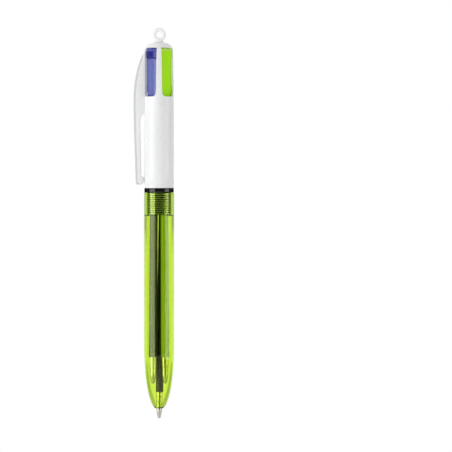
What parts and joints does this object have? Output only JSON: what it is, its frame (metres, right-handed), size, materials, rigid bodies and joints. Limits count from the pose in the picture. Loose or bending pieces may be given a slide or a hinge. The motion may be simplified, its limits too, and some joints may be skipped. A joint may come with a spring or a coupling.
{
  "type": "multicolour click pen",
  "caption": "Retractable ballpoint pen with coloured thumb sliders, sprung refills, a pocket clip, a lanyard ring and a clear tinted barrel that comes off.",
  "frame": {"origin": "on the pen's axis, on the face where the barrel meets the collar", "axes": "+Z along the axis from the tip towards the ring; the clip is on the -X side and the ring's hole runs along Y"},
  "size_m": [0.0151, 0.0112, 0.1449],
  "materials": {
    "white_plastic": "smooth moulded, semi-gloss",
    "black_gloss": "polished",
    "lime_clear": "clear tinted plastic, polished",
    "guide_plastic": "moulded",
    "red_plastic": "moulded",
    "blue_plastic": "moulded",
    "lime_plastic": "moulded",
    "black_plastic": "moulded",
    "red_tube": "extruded tube with ink",
    "blue_tube": "extruded tube with ink",
    "lime_tube": "extruded tube with ink",
    "black_tube": "extruded tube with ink",
    "spring_steel": "drawn wire",
    "nickel_silver": "turned",
    "ball_metal": "polished"
  },
  "bodies": {
    "root": {"housing": "white_plastic", "ring_plug": "white_plastic", "collar": "black_gloss", "guide_disc": "guide_plastic", "red_spring": "spring_steel", "blue_spring": "spring_steel", "lime_spring": "spring_steel", "black_spring": "spring_steel"},
    "barrel": {"barrel": "lime_clear"},
    "clip": {"clip_arm": "white_plastic"},
    "red_slider": {"red_slider": "red_plastic"},
    "red_refill": {"red_tube": "red_tube", "red_point": "nickel_silver"},
    "red_ball": {"red_ball": "ball_metal"},
    "blue_slider": {"blue_slider": "blue_plastic"},
    "blue_refill": {"blue_tube": "blue_tube", "blue_point": "nickel_silver"},
    "blue_ball": {"blue_ball": "ball_metal"},
    "lime_slider": {"lime_slider": "lime_plastic"},
    "lime_refill": {"lime_tube": "lime_tube", "lime_point": "nickel_silver"},
    "lime_ball": {"lime_ball": "ball_metal"},
    "black_slider": {"black_slider": "black_plastic"},
    "black_refill": {"black_tube": "black_tube", "black_point": "nickel_silver"},
    "black_ball": {"black_ball": "ball_metal"}
  },
  "joints": [
    {"name": "barrel_off", "type": "slide", "parent": "root", "child": "barrel", "axis": [0, 0, -1], "range_m": [0, 0.09]},
    {"name": "clip_flex", "type": "hinge", "parent": "root", "child": "clip", "pos_m": [-0.00825, 0, 0.0318], "axis": [0, 1, 0], "range_deg": [0, 4], "stiffness_Nm_per_rad": 0.5},
    {"name": "red_slide", "type": "slide", "parent": "root", "child": "red_slider", "axis": [0, 0, -1], "range_m": [0, 0.013], "stiffness_N_per_m": 20, "springref_m": -0.004, "deforming": ["red_spring", "red_tube", "red_point", "red_ball"]},
    {"name": "red_refill_lean", "type": "hinge", "parent": "red_slider", "child": "red_refill", "pos_m": [-0.00177, 0.00177, 0.03505], "axis": [-0.7071, -0.7071, 0], "range_deg": [0, 1.66]},
    {"name": "red_ball_roll", "type": "hinge", "parent": "red_refill", "child": "red_ball", "pos_m": [-0.00215, 0.00215, -0.07045], "axis": [1, 0, 0], "continuous": true},
    {"name": "blue_slide", "type": "slide", "parent": "root", "child": "blue_slider", "axis": [0, 0, -1], "range_m": [0, 0.013], "stiffness_N_per_m": 20, "springref_m": -0.004, "deforming": ["blue_spring", "blue_tube", "blue_point", "blue_ball"]},
    {"name": "blue_refill_lean", "type": "hinge", "parent": "blue_slider", "child": "blue_refill", "pos_m": [-0.00177, -0.00177, 0.03505], "axis": [0.7071, -0.7071, 0], "range_deg": [0, 1.66]},
    {"name": "blue_ball_roll", "type": "hinge", "parent": "blue_refill", "child": "blue_ball", "pos_m": [-0.00215, -0.00215, -0.07045], "axis": [1, 0, 0], "continuous": true},
    {"name": "lime_slide", "type": "slide", "parent": "root", "child": "lime_slider", "axis": [0, 0, -1], "range_m": [0, 0.013], "stiffness_N_per_m": 20, "springref_m": -0.004, "deforming": ["lime_spring", "lime_tube", "lime_point", "lime_ball"]},
    {"name": "lime_refill_lean", "type": "hinge", "parent": "lime_slider", "child": "lime_refill", "pos_m": [0.00177, -0.00177, 0.03505], "axis": [0.7071, 0.7071, 0], "range_deg": [0, 1.66]},
    {"name": "lime_ball_roll", "type": "hinge", "parent": "lime_refill", "child": "lime_ball", "pos_m": [0.00215, -0.00215, -0.07045], "axis": [1, 0, 0], "continuous": true},
    {"name": "black_slide", "type": "slide", "parent": "root", "child": "black_slider", "axis": [0, 0, -1], "range_m": [-0.013, 0], "deforming": ["black_spring", "black_tube", "black_point", "black_ball"]},
    {"name": "black_refill_lean", "type": "hinge", "parent": "black_slider", "child": "black_refill", "pos_m": [0.00177, 0.00177, 0.02205], "axis": [-0.7071, 0.7071, 0], "range_deg": [-1.66, 0]},
    {"name": "black_ball_roll", "type": "hinge", "parent": "black_refill", "child": "black_ball", "pos_m": [0.00001, 0.00001, -0.08342], "axis": [1, 0, 0], "continuous": true}
  ],
  "couplings": [
    {"joint": "red_refill_lean", "follows": "red_slide", "rad_per_m": 2.2135},
    {"joint": "blue_refill_lean", "follows": "blue_slide", "rad_per_m": 2.2135},
    {"joint": "lime_refill_lean", "follows": "lime_slide", "rad_per_m": 2.2135},
    {"joint": "black_refill_lean", "follows": "black_slide", "rad_per_m": 2.2135}
  ]
}
